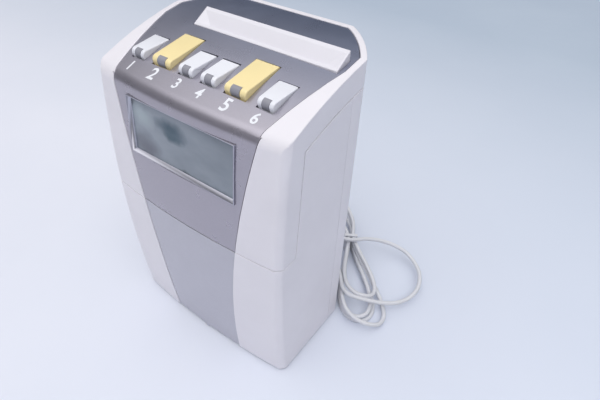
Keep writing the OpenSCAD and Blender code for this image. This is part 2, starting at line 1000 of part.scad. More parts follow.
function switch_y(k) = key_back(k) - key_back(2) - plunger_share * key_len(k);
module key_switches() {
    color(dark_c)
        in_board_frame()
            for (k = [0 : 5])
                translate([key_places[k], switch_y(k), 0]) {
                    translate([-switch_side / 2, -switch_side / 2, 0])
                        cube([switch_side, switch_side, switch_h]);
                    cylinder(r = button_r, h = switch_h + button_h);
                }
}

bracket_front = module_front + module_t + board_t;
bracket_top = plate_top - view_z + sheet;
tab_under = 8;
module display_bracket() {
    tab_y = win_y + bracket_front;
    tab_w = view_x + display_board_w / 2 - left_x - sheet;
    color(steel_c) {
        in_display_frame()
            translate([-display_board_w / 2, bracket_front, bracket_in - display_board_h / 2])
                cube([display_board_w, sheet, bracket_top + display_board_h / 2 - bracket_in]);
        difference() {
            translate([left_x + sheet, tab_y, plate_top - sheet])
                cube([tab_w, bridge_front + tab_under - tab_y, sheet]);
            in_display_frame()
                translate([-far_cut / 2, bracket_front - far_cut, -far_cut / 2])
                    cube(far_cut);
        }
    }
}

guide_x0 = left_x + sheet;
guide_w = right_x - guide_x0;
guide_top = hopper_base_z - module_gap;
roller_w = 12;
roller_xs = [card_mid - 26, card_mid + 26];
roller_room = 3;
stop_t = 2;

// Openings in the guides for the rollers, r around the shaft's height
module roller_windows(y, r) {
    for (x = roller_xs)
        translate([x - roller_w / 2 - roller_room, y - skin, shaft_z - r])
            cube([roller_w + 2 * roller_room, sheet + 2 * skin, 2 * r]);
}

print_z = rods_z + 14;
head_half = 9;
module card_guide_front() {
    print_w = 2 * (carriage_travel + head_half);
    color(steel_c)
        difference() {
            translate([guide_x0, slot_y0 - sheet, stop_z])
                cube([guide_w, sheet, guide_top - stop_z]);
            roller_windows(slot_y0 - sheet, pinch_r + pinch_open);
            translate([card_mid - print_w / 2, slot_y0 - sheet - skin, print_z - head_half])
                cube([print_w, sheet + 2 * skin, 2 * head_half]);
        }
}

module card_guide_rear() {
    color(steel_c)
        difference() {
            translate([guide_x0, slot_y0, stop_z])
                cube([guide_w, card_gap + sheet, guide_top - stop_z]);
            translate([card_mid - slot_w / 2, slot_y0 - skin, stop_z + stop_t])
                cube([slot_w, card_gap + skin, guide_top]);
            roller_windows(slot_y1, feed_r);
        }
}

// Feed drive

gear_t = 4;
gear_x = left_x - 2 - gear_t;
shaft_out = 3;
clip_gap = 0.2;

// Outline of a spur gear with its first tooth along X
tip_share = 0.9;
root_share = 1.25;
tooth_fill = 0.9;
tip_narrow = 0.45;
root_wide = 1.45;
module gear_outline(teeth) {
    half = 90 / teeth * tooth_fill;
    tip = gear_module * (teeth / 2 + tip_share);
    root = gear_module * (teeth / 2 - root_share);
    polygon([for (i = [0 : teeth - 1])
        for (c = [[root, -root_wide], [tip, -tip_narrow], [tip, tip_narrow], [root, root_wide]])
            c[0] * [cos(360 * i / teeth + c[1] * half), sin(360 * i / teeth + c[1] * half)]]);
}

module along_x(x, y, z) {
    translate([x, y, z])
        rotate([90, 0, 90])
            children();
}

module feed_shaft() {
    x0 = gear_x - shaft_out;
    color(steel_c)
        along_x(x0, feed_y, shaft_z)
            cylinder(r = shaft_r, h = right_x + sheet + shaft_out - x0);
}

module feed_rollers() {
    color(dark_c)
        for (x = roller_xs)
            along_x(x - roller_w / 2, feed_y, shaft_z)
                difference() {
                    cylinder(r = feed_r, h = roller_w);
                    translate([0, 0, -skin])
                        cylinder(r = shaft_r, h = roller_w + 2 * skin);
                }
}

mesh_a = atan2(pinion_z - shaft_z, pinion_y - feed_y);
module feed_gear() {
    color(white_c)
        along_x(gear_x, feed_y, shaft_z)
            rotate(mesh_a)
                difference() {
                    linear_extrude(gear_t)
                        gear_outline(gear_teeth);
                    translate([0, 0, -skin])
                        cylinder(r = shaft_r, h = gear_t + 2 * skin);
                }
}

module motor_pinion() {
    color(steel_c)
        along_x(gear_x, pinion_y, pinion_z) {
            difference() {
                rotate(mesh_a + 180 + 180 / pinion_teeth)
                    linear_extrude(gear_t)
                        gear_outline(pinion_teeth);
                translate([0, 0, -skin])
                    cylinder(r = motor_shaft_r, h = gear_t + 2 * skin);
            }
            cylinder(r = motor_shaft_r, h = left_x + sheet - gear_x + wall);
        }
}

motor_r = 10.5;
motor_l = 28;
module feed_motor() {
    x0 = left_x + sheet;
    color(dark_c)
        along_x(x0, pinion_y, pinion_z)
            difference() {
                cylinder(r = motor_r, h = motor_l);
                translate([0, 0, -skin])
                    cylinder(r = motor_shaft_r + run_gap, h = skin + wall + fit_gap);
            }
}

// Pinch rollers on a swinging arm

arm_t = 2;
arm_half = 3;
pinch_shaft_r = 1.5;
arm_xs = [for (x = roller_xs) for (s = [-1, 1]) x + s * (roller_w / 2 + clip_gap + arm_t / 2)];
module pinch_arm() {
    pivot_from = left_x - shaft_out;
    arm_run = [pinch_y, shaft_z] - pinch_pivot;
    arm_a = atan2(arm_run.y, arm_run.x);
    color(steel_c) {
        along_x(pivot_from, pinch_pivot.x, pinch_pivot.y)
            cylinder(r = pinch_pin_r, h = right_x + sheet + shaft_out - pivot_from);
        for (x = arm_xs)
            along_x(x - arm_t / 2, pinch_pivot.x, pinch_pivot.y)
                rotate(arm_a)
                    linear_extrude(arm_t) {
                        circle(arm_half);
                        translate([0, -arm_half / 2])
                            square([norm(arm_run), arm_half]);
                        translate([norm(arm_run), 0])
                            circle(arm_half);
                    }
        for (x = roller_xs)
            along_x(x - roller_w / 2 - clip_gap - arm_t / 2, pinch_y, shaft_z)
                cylinder(r = pinch_shaft_r, h = roller_w + 2 * clip_gap + arm_t);
    }
}

module pinch_rollers() {
    color(dark_c)
        for (x = roller_xs)
            along_x(x - roller_w / 2, pinch_y, shaft_z)
                difference() {
                    cylinder(r = pinch_r, h = roller_w);
                    translate([0, 0, -skin])
                        cylinder(r = pinch_shaft_r + run_gap, h = roller_w + 2 * skin);
                }
}

// Print carriage

carriage_half = 16;
carriage_front = -28 * deep;
carriage_back = -3 * deep;
carriage_z0 = rods_z - 8;
carriage_z1 = rods_z + 8;
module carriage_rods() {
    x0 = left_x - shaft_out;
    color(steel_c)
        for (y = rod_ys)
            along_x(x0, y, rods_z)
                cylinder(r = rod_r, h = right_x + sheet + shaft_out - x0);
}

belt_t = 1;
belt_w = 4;
belt_z = rods_z - 16;
pulley_h = 7;
pulley_y = carriage_front - belt_t - pulley_r;
belt_clear = 0.15;
clamp_w = 10;
module print_carriage() {
    color(dark_c)
        difference() {
            union() {
                translate([card_mid - carriage_half, carriage_front, carriage_z0])
                    cube([2 * carriage_half, carriage_back - carriage_front, carriage_z1 - carriage_z0]);
                translate([card_mid - clamp_w / 2, carriage_front + belt_clear, belt_z])
                    cube([clamp_w, clamp_w, carriage_z0 - belt_z + skin]);
            }
            for (y = rod_ys)
                along_x(card_mid - 2 * carriage_half, y, rods_z)
                    cylinder(r = rod_r + run_gap, h = 4 * carriage_half);
        }
}

head_front = -20 * deep;
head_back = slot_y0 - sheet - 0.6;
nose_half = 4;
module print_head() {
    color(steel_c) {
        translate([card_mid - head_half, head_front, carriage_z1])
            cube([2 * head_half, carriage_back - head_front, 2 * head_half]);
        translate([card_mid - nose_half, carriage_back - skin, print_z - nose_half])
            cube([2 * nose_half, head_back - carriage_back + skin, 2 * nose_half]);
    }
}

ribbon_z = carriage_z1 + 2 * head_half + 2;
ribbon_h = 12;
ribbon_front = -28 * deep;
module ribbon_cartridge() {
    x0 = left_x + sheet;
    length = right_x - x0;
    arm = 14;
    deep = slot_y0 - sheet - 1 - ribbon_front;
    color(dark_c)
        translate([x0, ribbon_front, ribbon_z])
            difference() {
                cube([length, deep, ribbon_h]);
                translate([arm, deep - arm, -skin])
                    cube([length - 2 * arm, 2 * arm, ribbon_h + 2 * skin]);
            }
}

tray_z = belt_z - 5;
tray_front = pulley_y - 12;
tray_back = carriage_front + 6;
pulley_xs = [left_x + 14, right_x - 12];
stud_r = 1.5;
module drive_tray() {
    x0 = left_x + sheet;
    color(steel_c)
        difference() {
            union() {
                translate([x0, tray_front, tray_z - sheet])
                    cube([right_x - x0, tray_back - tray_front, sheet]);
                translate([pulley_xs[0], pulley_y, tray_z - skin])
                    cylinder(r = stud_r, h = pulley_h + clip_gap + skin + stud_r);
            }
            translate([pulley_xs[1], pulley_y, tray_z - 2 * sheet])
                cylinder(r = stud_r + skin, h = 3 * sheet);
        }
}

carriage_motor_r = 10;
carriage_motor_h = 20;
module carriage_motor() {
    color(dark_c)
        translate([pulley_xs[1], pulley_y, tray_z - sheet - carriage_motor_h])
            difference() {
                cylinder(r = carriage_motor_r, h = carriage_motor_h);
                translate([0, 0, carriage_motor_h - wall - fit_gap])
                    cylinder(r = stud_r + run_gap, h = 2 * wall);
            }
}

flange_h = 1;
module pulley(bore) {
    difference() {
        union() {
            cylinder(r = pulley_r - belt_clear, h = pulley_h);
            for (z = [0, pulley_h - flange_h])
                translate([0, 0, z])
                    cylinder(r = pulley_r + belt_t, h = flange_h);
        }
        translate([0, 0, -skin])
            cylinder(r = bore, h = pulley_h + 2 * skin);
    }
}

module drive_pulley() {
    color(white_c)
        translate([pulley_xs[1], pulley_y, tray_z + clip_gap]) {
            pulley(stud_r);
            translate([0, 0, -clip_gap - sheet - wall])
                cylinder(r = stud_r, h = pulley_h + clip_gap + sheet + wall);
        }
}

module idler_pulley() {
    color(white_c)
        translate([pulley_xs[0], pulley_y, tray_z + clip_gap])
            pulley(stud_r + run_gap);
}

module belt_outline(r) {
    for (x = pulley_xs)
        translate([x, pulley_y])
            circle(r);
    translate([pulley_xs[0], pulley_y - r])
        square([pulley_xs[1] - pulley_xs[0], 2 * r]);
}

module carriage_belt() {
    color(dark_c)
        translate([0, 0, tray_z + clip_gap + (pulley_h - belt_w) / 2])
            linear_extrude(belt_w)
                difference() {
                    belt_outline(pulley_r + belt_t);
                    belt_outline(pulley_r);
                }
}

// Electrics

module main_board() {
    color(board_c)
        translate([-board_half_w, board_front_y, board_z0])
            cube([2 * board_half_w, board_t, board_z1 - board_z0]);
}

chip = [16, 3, 16];
chip_spots = [for (x = [-30, 0, 28]) for (z = [104, 132]) [x * wide, z * tall]];
can_r = 2.5;
can_l = 4;
can_xs = [-36, -28, 20, 34];
can_up = 18;
module board_parts() {
    color(dark_c) {
        for (p = chip_spots)
            translate([p.x - chip.x / 2, board_front_y - chip.y, p.y - chip.z / 2])
                cube(chip);
        for (x = can_xs)
            translate([x * wide, board_front_y, board_z0 + can_up])
                rotate([90, 0, 0])
                    cylinder(r = can_r, h = can_l);
    }
}

core_room = 2;
core_w = left_x + boss_x - boss_r - 2 * core_room;
core = [core_w, 40 * deep, 34];
coil = [core_w, 22 * deep, 44];
core_front = -26 * deep;
module transformer() {
    x1 = left_x - core_room;
    color(dark_c)
        translate([x1 - core.x, core_front, base_top]) {
            cube(core);
            translate([0, (core.y - coil.y) / 2, 0])
                cube(coil);
        }
}

cell_r = 7;
cell_l = 42;
cell_front = -38 * deep;
module backup_battery() {
    color([0.2, 0.35, 0.6])
        translate([card_mid - cell_l / 2, cell_front, base_top + cell_r])
            for (i = [0 : 2])
                translate([0, i * (2 * cell_r - fit_gap), 0])
                    rotate([0, 90, 0])
                        cylinder(r = cell_r, h = cell_l);
}

// Mains lead: gland, lead, hank, tie and plug

cord_r = cord_d / 2;
gland_flange_r = 6.5;
gland_flange_t = 2;
relief_l = 22;
gland_elbow_r = gland_neck_r + 0.6;
gland_elbow_y = back_y + 7.5;
module cord_gland() {
    color(cord_c) {
        translate([gland_x, back_y - wall - gland_flange_t, gland_z])
            rotate([-90, 0, 0]) {
                cylinder(r = gland_flange_r, h = gland_flange_t);
                cylinder(r = gland_neck_r, h = gland_elbow_y - back_y + wall + gland_flange_t);
            }
        translate([gland_x, gland_elbow_y, gland_z]) {
            translate([0, 0, -gland_elbow_r])
                cylinder(r = gland_elbow_r, h = 2 * gland_elbow_r);
            rotate([0, 90, 0])
                cylinder(r1 = gland_neck_r, r2 = cord_r + fit_gap, h = relief_l);
        }
    }
}

// A tube of the given sides swept along points; its ends are square to the first and last runs
function unit(v) = v / norm(v);
function heading(p, i) = unit(p[min(i + 1, len(p) - 1)] - p[max(i - 1, 0)]);
function ring(p, i, r, sides) =
    let (f = heading(p, i), s = unit(cross(f, [0, 0, 1])), u = cross(s, f))
    [for (k = [0 : sides - 1]) p[i] + r * (cos(360 * k / sides) * s + sin(360 * k / sides) * u)];

module tube(p, r, sides) {
    n = len(p);
    points = [for (i = [0 : n - 1]) each ring(p, i, r, sides)];
    walls = [for (i = [0 : n - 2]) for (k = [0 : sides - 1])
        let (a = i * sides + k, b = i * sides + (k + 1) % sides)
        each [[a, b, b + sides], [a, b + sides, a + sides]]];
    ends = [for (k = [1 : sides - 2])
        each [[0, k + 1, k], [(n - 1) * sides, (n - 1) * sides + k, (n - 1) * sides + k + 1]]];
    polyhedron(points, concat(walls, ends));
}

// Hank: loops tied at the waist, spread towards the front right and laid together behind
cord_shift = [half_w - design.x / 2, back_y - design.y / 2, 0];
waist = [46 + cord_shift.x, 96 + cord_shift.y];
hank_u = unit([0.55, -0.835]);
hank_v = [-hank_u.y, hank_u.x];
waist_half = 2.4;
waist_lift = 1.2;
level_h = cord_d + turn_gap;
loop_rings = 12;
// Each front loop: its reach, its width, its lean to the right, and where it comes down to the table
front_loops = [
    [84.7, 14.4, 5.6, 98, 99], [83.8, 13.1, 3.7, 98, 99], [92.6, 18.4, 12.4, 3.2, 36.8], [68, 13, 9, 3.7, 45.4]
];
// Each rear loop: its reach, its width, its lean and its turn behind the case
rear_loops = [
    [84.4, 14.6, -5.9, 19.4], [83.2, 16.2, -11.8, 21.5], [80, 15.8, -7.3, 19.4], [79.5, 14.4, -6, 19.5]
];
rear_bend = 60;
// Rings of the last rear loop that the lead takes over
open_rings = 3;
// How full the loops are at the waist, and how late they lean
loop_full = 0.5;
loop_late = 1.3;

function ease(a, b, x) = let (t = max(0, min(1, (x - a) / (b - a)))) t * t * (3 - 2 * t);
function side_way(loop, a, hand) =
    let (out = max(0, sin(a)))
    hand * (waist_half * cos(a) + loop[1] * sin(2 * a) * pow(out, loop_full)) + loop[2] * pow(out, loop_late);
function front_loop(k, a) =
    let (loop = front_loops[k], v = side_way(loop, a, -1))
    let (down = 1 - ease(loop[3], loop[4], v))
    [loop[0] * sin(a), v, cord_r + waist_lift * pow(cos(a), 2) + k * level_h * down];
function rear_loop(k, a) =
    let (loop = rear_loops[k], u = -loop[0] * sin(a), v = side_way(loop, a, 1))
    let (t = loop[3] * ease(0, rear_bend, -u))
    [u * cos(t) - v * sin(t), u * sin(t) + v * cos(t), cord_r + waist_lift + level_h * (k + ease(18, 90, a))];
last_level = len(rear_loops) - 1;
hank_local = concat(
    [[-cord_d, -waist_half, cord_r + waist_lift]],
    [for (k = [0 : last_level]) each concat(
        [for (i = [0 : loop_rings]) front_loop(k, 180 * i / loop_rings)],
        [for (i = [1 : loop_rings - (k == last_level ? open_rings : 1)]) rear_loop(k, 180 * i / loop_rings)]
    )]
);
function on_table(p) = let (q = waist + p.x * hank_u + p.y * hank_v) [q.x, q.y, p.z];
hank_points = [for (p = hank_local) on_table(p)];

// Lead from the gland's relief round the corner, out in a wide bow and back over the waist to the last loop
lead_from = [gland_x + relief_l, gland_elbow_y, gland_z];
lead_route = [
    [33, 64, 19.8], [42, 63, 18.9], [51, 59.5, 17.6], [59.5, 53.5, 16.6], [66.5, 46, 16],
    [72.5, 39.5, 15.8], [80, 36.5, 15.8], [89, 38.5, 15.6], [98, 43, 14.2], [107.5, 49.5, 12],
    [116, 58, 10.5], [122, 70, 10], [123, 84, 10], [117.1, 99.9, 9.6], [106.9, 109.9, 10],
    [95.5, 114.8, 11.5], [83.3, 113.9, 14], [70.8, 108.2, 17], [60.2, 99.5, 19.6], [52.6, 89.9, 21.2],
    [47.9, 86.1, 22], [42, 84.4, 22.2], [35.9, 85.3, 21.9], [31.1, 88.2, 21.4], [22.2, 95.3, 21.1],
    [12.7, 101.6, 20.8], [3.1, 107.7, 20.7]
];
hank_back = cord_d * [hank_u.x, hank_u.y, 0];
hank_first = hank_points[0];
hank_last = hank_points[len(hank_points) - 1];
hank_end = cord_d * unit(hank_last - hank_points[len(hank_points) - 2]);
lead_points = concat(
    [lead_from, lead_from + [cord_d, 0, 0]],
    [for (p = lead_route) p + cord_shift],
    [hank_last + hank_end, hank_last]
);
// Tail from the waist to the plug
tail_route = [
    [36.6, 104.6, 2.4], [31.5, 108, 1.8], [25, 109.6, 1.8], [17, 109.3, 1.8], [9, 107.3, 2.2],
    [0, 104, 4], [-8, 102, 6.6], [-15, 101, 8.2], [-20, 101, 8.5]
];
plug_end = tail_route[len(tail_route) - 1] + cord_shift;
tail_points = concat(
    [hank_first, hank_first - hank_back],
    [for (p = tail_route) p + cord_shift],
    [plug_end - [cord_d, 0, 0]]
);
cord_sides = 8;
loop_sides = 6;

// Least distance between stretches of the hank that don't follow each other
near_rings = 5;
hank_gap = min([for (i = [0 : len(hank_points) - 1 - near_rings])
    for (j = [i + near_rings : len(hank_points) - 1]) norm(hank_points[i] - hank_points[j])]) - cord_d;
echo(hank_least_gap = hank_gap);

module cord_lead() {
    color(cord_c) {
        tube(lead_points, cord_r, cord_sides);
        tube(tail_points, cord_r, cord_sides);
    }
}

module cord_hank() {
    color(cord_c)
        tube(hank_points, cord_r, loop_sides);
}

tie_t = 0.8;
tie_w = 3;
tie_gap = 0.3;
tie_room = 1;
module cord_tie() {
    inner_w = 2 * (waist_half + cord_r + tie_room);
    inner_h = waist_lift + last_level * level_h + cord_d + tie_gap - tie_t;
    color(dark_c)
        translate([waist.x, waist.y, 0])
            rotate(atan2(hank_u.y, hank_u.x))
                across(tie_w)
                    difference() {
                        translate([-inner_w / 2 - tie_t, 0])
                            square([inner_w + 2 * tie_t, inner_h + 2 * tie_t]);
                        translate([-inner_w / 2, tie_t])
                            square([inner_w, inner_h]);
                    }
}

plug_d = 17;
plug_l = 26;
plug_relief = 12;
blade = [18, 6.3, 1.5];
blade_pitch = 12.7;
plug_z = plug_d / 2;
module plug() {
    x0 = plug_end.x - cord_d - plug_relief;
    color(cord_c) {
        translate([x0, plug_end.y, plug_z]) {
            rotate([0, 90, 0])
                cylinder(r1 = cord_d, r2 = cord_r + fit_gap, h = plug_relief);
            rotate([0, -90, 0])
                linear_extrude(plug_l)
                    union() {
                        circle(plug_d / 2);
                        translate([-plug_d / 2, -blade_pitch / 2 - blade.z])
                            square([plug_d, blade_pitch + 2 * blade.z]);
                    }
        }
        for (s = [-1, 1])
            translate([x0 - plug_l - blade.x, plug_end.y, plug_z - blade.y / 2])
                translate([0, s * blade_pitch / 2 - blade.z / 2, 0])
                    cube([blade.x + skin, blade.z, blade.y]);
    }
}

base_plate();
rubber_feet();
base_screws();
lower_case();
rear_cover();
rear_screws();
lower_front_panel();
top_cover();
control_panel();
display_bezel();
display_window();
card_hopper();
key(0);  // key_1
key(1);  // key_2
key(2);  // key_3
key(3);  // key_4
key(4);  // key_5
key(5);  // key_6
key_mark(0);  // key_mark_1
key_mark(1);  // key_mark_2
key_mark(2);  // key_mark_3
key_mark(3);  // key_mark_4
key_mark(4);  // key_mark_5
key_mark(5);  // key_mark_6
key_pins();
key_board();
key_switches();
chassis_left();
chassis_right();
chassis_bridge();
display_bracket();
display_board();
display_module();
card_guide_front();
card_guide_rear();
feed_shaft();
feed_rollers();
feed_gear();
motor_pinion();
feed_motor();
pinch_arm();
pinch_rollers();
carriage_rods();
print_carriage();
print_head();
ribbon_cartridge();
drive_tray();
carriage_motor();
drive_pulley();
idler_pulley();
carriage_belt();
main_board();
board_parts();
transformer();
backup_battery();
cord_gland();
cord_lead();
cord_hank();
cord_tie();
plug();
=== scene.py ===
"""Looks of the desk time clock: materials, the mains lead, the key numbers, floor, light and camera."""
import math

import bpy
import bmesh
import numpy as np
from mathutils import Matrix, Vector
from mathutils.bvhtree import BVHTree


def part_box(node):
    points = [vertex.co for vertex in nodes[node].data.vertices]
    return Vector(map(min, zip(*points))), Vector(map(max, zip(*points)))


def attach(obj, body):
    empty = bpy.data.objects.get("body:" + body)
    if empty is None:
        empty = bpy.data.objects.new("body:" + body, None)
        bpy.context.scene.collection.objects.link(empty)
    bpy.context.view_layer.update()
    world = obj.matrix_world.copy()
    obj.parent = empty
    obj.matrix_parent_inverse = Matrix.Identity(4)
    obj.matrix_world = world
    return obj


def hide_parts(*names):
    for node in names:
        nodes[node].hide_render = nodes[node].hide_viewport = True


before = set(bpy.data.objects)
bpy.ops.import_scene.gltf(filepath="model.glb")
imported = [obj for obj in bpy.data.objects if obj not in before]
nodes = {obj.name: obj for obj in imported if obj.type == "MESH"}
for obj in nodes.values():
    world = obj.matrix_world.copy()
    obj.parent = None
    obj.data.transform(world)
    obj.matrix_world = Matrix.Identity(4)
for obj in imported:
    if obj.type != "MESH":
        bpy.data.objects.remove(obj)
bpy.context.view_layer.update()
scene = bpy.context.scene
MM = 0.001
KEY_COUNT = 6


# Camera at the photograph's viewing angle

AZIMUTH = math.radians(34.824)
ELEVATION = math.radians(40.34)
ROLL = math.radians(2.345)
EYE = np.array([186.96, -194.45, 330.79]) * MM
SENSOR_WIDTH = 36
FOCAL_PX = 466.37
PHOTO_WIDTH_PX = 600


def make_camera():
    out = math.cos(ELEVATION)
    back = np.array([math.sin(AZIMUTH) * out, -math.cos(AZIMUTH) * out, math.sin(ELEVATION)])
    level = np.array([math.cos(AZIMUTH), math.sin(AZIMUTH), 0.0])
    upright = np.cross(back, level)
    data = bpy.data.cameras.new("camera")
    data.sensor_width = SENSOR_WIDTH
    data.lens = FOCAL_PX / PHOTO_WIDTH_PX * SENSOR_WIDTH
    data.clip_start = 0.01
    data.clip_end = 50
    camera = bpy.data.objects.new("camera", data)
    scene.collection.objects.link(camera)
    m = np.eye(4)
    m[:3, 0] = math.cos(ROLL) * level + math.sin(ROLL) * upright
    m[:3, 1] = -math.sin(ROLL) * level + math.cos(ROLL) * upright
    m[:3, 2] = back
    m[:3, 3] = EYE
    camera.matrix_world = Matrix(m.tolist())
    scene.camera = camera


make_camera()


# Helpers for materials

def lin(r, g, b):
    """A colour given as it looks on screen, 0 to 255, as Blender's linear colour."""
    out = []
    for c in (r, g, b):
        c /= 255
        out.append(c / 12.92 if c <= 0.04045 else ((c + 0.055) / 1.055) ** 2.4)
    return (*out, 1.0)


def shades(colour, spread):
    """A darker and a lighter shade of a colour."""
    dark = tuple(max(0.0, c * (1 - spread)) for c in colour[:3]) + (1.0,)
    light = tuple(min(1.0, c * (1 + spread)) for c in colour[:3]) + (1.0,)
    return dark, light


def colour_ramp(tree, fac, stops):
    """A ramp in a node tree, with a place and a colour for each stop."""
    node = tree.nodes.new("ShaderNodeValToRGB")
    elements = node.color_ramp.elements
    while len(elements) < len(stops):
        elements.new(0.5)
    for element, (at, colour) in zip(elements, stops):
        element.position = at
        element.color = colour
    tree.links.new(fac, node.inputs["Fac"])
    return node.outputs["Color"]


class Graph:
    """A material's node tree with short calls for the nodes used here."""

    def __init__(self, name):
        self.material = bpy.data.materials.new(name)
        self.material.use_nodes = True
        self.tree = self.material.node_tree
        self.shader = self.tree.nodes["Principled BSDF"]
        self.place = self.add("ShaderNodeTexCoord").outputs["Object"]

    def add(self, kind, **values):
        node = self.tree.nodes.new(kind)
        for key, value in values.items():
            setattr(node, key, value)
        return node

    def link(self, a, b):
        self.tree.links.new(a, b)

    def feed(self, socket, value):
        """Gives a socket its value: a constant directly, anything else by a link."""
        if isinstance(value, (int, float, tuple)):
            socket.default_value = value
        else:
            self.link(value, socket)

    def stretched(self, scale):
        node = self.add("ShaderNodeMapping")
        node.inputs["Scale"].default_value = scale
        self.link(self.place, node.inputs["Vector"])
        return node.outputs["Vector"]

    def noise(self, scale, detail=3.0, rough=0.55, place=None):
        node = self.add("ShaderNodeTexNoise")
        node.inputs["Scale"].default_value = scale
        node.inputs["Detail"].default_value = detail
        node.inputs["Roughness"].default_value = rough
        self.link(place or self.place, node.inputs["Vector"])
        return node.outputs["Fac"]

    def cells(self, scale):
        node = self.add("ShaderNodeTexVoronoi")
        node.inputs["Scale"].default_value = scale
        self.link(self.place, node.inputs["Vector"])
        return node.outputs["Color"]

    def blend(self, fac, low, high, start=0.3, end=0.7):
        """One colour up to a start, another from an end, and a ramp between them."""
        return colour_ramp(self.tree, fac, [(start, low), (end, high)])

    def span(self, fac, low, high, start=0.3, end=0.7):
        """As blend, with numbers in place of colours."""
        node = self.add("ShaderNodeMapRange")
        node.inputs["From Min"].default_value = start
        node.inputs["From Max"].default_value = end
        node.inputs["To Min"].default_value = low
        node.inputs["To Max"].default_value = high
        self.link(fac, node.inputs["Value"])
        return node.outputs["Result"]

    def mix(self, fac, a, b, kind="MIX"):
        node = self.add("ShaderNodeMix", data_type="RGBA", blend_type=kind)
        self.feed(node.inputs[0], fac)
        self.feed(node.inputs[6], a)
        self.feed(node.inputs[7], b)
        return node.outputs[2]

    def axis(self, name):
        node = self.add("ShaderNodeSeparateXYZ")
        self.link(self.place, node.inputs[0])
        return node.outputs[name]

    def spot(self, place, centre, size, core=0.45):
        """1 in the core around a centre, falling to 0 at a size in each direction, in millimetres."""
        node = self.add("ShaderNodeMapping")
        node.inputs["Scale"].default_value = [1 / (s * MM) for s in size]
        node.inputs["Location"].default_value = [-c / s for c, s in zip(centre, size)]
        self.link(place, node.inputs["Vector"])
        far = self.add("ShaderNodeVectorMath", operation="LENGTH")
        self.link(node.outputs["Vector"], far.inputs[0])
        return self.span(far.outputs["Value"], 1.0, 0.0, core, 1.0)

    def bump(self, height, strength, distance=0.0002):
        node = self.add("ShaderNodeBump")
        node.inputs["Strength"].default_value = strength
        node.inputs["Distance"].default_value = distance
        self.link(height, node.inputs["Height"])
        return node.outputs["Normal"]

    def set(self, **values):
        """Feeds the shader's sockets, named with _ for a space."""
        for key, value in values.items():
            self.feed(self.shader.inputs[key.replace("_", " ")], value)


# Kinds of material

CLOUD = 24
FLAKE = 0.03


def plastic(name, colour, spread=0.05, rough=(0.38, 0.5), grain=2600, depth=0.05, specular=0.45):
    """Moulded plastic: cloudy colour, fine spark-eroded grain and uneven gloss."""
    g = Graph(name)
    g.set(Base_Color=g.blend(g.noise(CLOUD, 5), *shades(colour, spread)),
          Roughness=g.span(g.noise(CLOUD * 5, 3), *rough),
          Normal=g.bump(g.noise(grain, 2), depth), Specular_IOR_Level=specular)
    return g.material


def metal(name, colour, rough, brush, depth=0.05, spread=0.08):
    """Bright or plated metal with brush marks."""
    g = Graph(name)
    marks = g.noise(4, 5, 0.6, g.stretched(brush))
    g.set(Base_Color=g.blend(marks, *shades(colour, spread)), Metallic=1.0,
          Roughness=g.span(marks, *rough), Normal=g.bump(marks, depth))
    return g.material


def lacquer(name, colour, far, metallic=0.75, rough=(0.26, 0.33)):
    """Metallic lacquer: a fine flake under a satin coat, with painted reflection: a darker far colour
    towards the back.
    """
    g = Graph(name)
    cells = g.cells(2600)
    body = g.blend(cells, *shades(colour, FLAKE), 0.2, 0.8)
    back = g.blend(cells, *shades(far, FLAKE), 0.2, 0.8)
    # Painted reflection: the colour darkens to the far colour towards the back of the panel
    painted_reflection_tone = g.mix(g.span(g.axis("Y"), 0.0, 1.0, -0.04, 0.05), body, back)
    clouds = g.blend(g.noise(16, 4), (0.55, 0.55, 0.55, 1), (1, 1, 1, 1))
    g.set(Base_Color=g.mix(0.06, painted_reflection_tone, clouds, "MULTIPLY"), Metallic=metallic,
          Roughness=g.span(g.noise(60, 3), *rough), Normal=g.bump(g.noise(160, 2), 0.02),
          Coat_Weight=0.2, Coat_Roughness=0.3)
    return g.material


# Painted reflections on the display: centre and size in millimetres, and colour
PAINTED_DISPLAY_REFLECTIONS = (
    ((-29, -52, 187), (13, 20, 9), lin(160, 172, 180)),
    ((-43, -52, 194), (10, 20, 6), lin(48, 50, 52)),
    ((-5, -52, 186.5), (16, 20, 8), lin(48, 76, 94)),
    ((-3, -52, 182), (10, 20, 5), lin(58, 84, 100)),
    ((-27, -55, 166), (17, 20, 15), lin(94, 98, 112)),
    ((6, -55, 160), (13, 20, 5), lin(84, 92, 100)),
    ((32, -55, 158), (24, 20, 7), lin(92, 100, 114)),
    ((-42, -53, 178), (5, 20, 14), lin(92, 96, 108)),
)


def display_glazing(name):
    """The display's window: smoke-grey glazing over a blue-grey field, with painted reflections as soft
    streaks and light and dark patches.
    """
    g = Graph(name)
    # Painted reflection: soft streaks across the glazing
    painted_reflection_streak = g.noise(1.6, 3, 0.5, g.stretched((16, 16, 34)))
    painted_reflection_tone = g.blend(painted_reflection_streak, lin(118, 127, 138), lin(142, 151, 162))
    ragged = g.add("ShaderNodeTexNoise")
    ragged.inputs["Scale"].default_value = 90
    g.link(g.place, ragged.inputs["Vector"])
    bent = g.add("ShaderNodeMix", data_type="VECTOR")
    bent.inputs[0].default_value = 0.008
    g.link(g.place, bent.inputs[4])
    g.link(ragged.outputs["Color"], bent.inputs[5])
    # Painted reflections: soft light and dark patches
    for centre, size, colour in PAINTED_DISPLAY_REFLECTIONS:
        painted_reflection_tone = g.mix(g.spot(bent.outputs[1], centre, size), painted_reflection_tone, colour)
    g.set(Base_Color=painted_reflection_tone, Roughness=g.span(g.noise(300, 2), 0.10, 0.17), Specular_IOR_Level=0.5,
          Coat_Weight=0.3, Coat_Roughness=0.05)
    return g.material


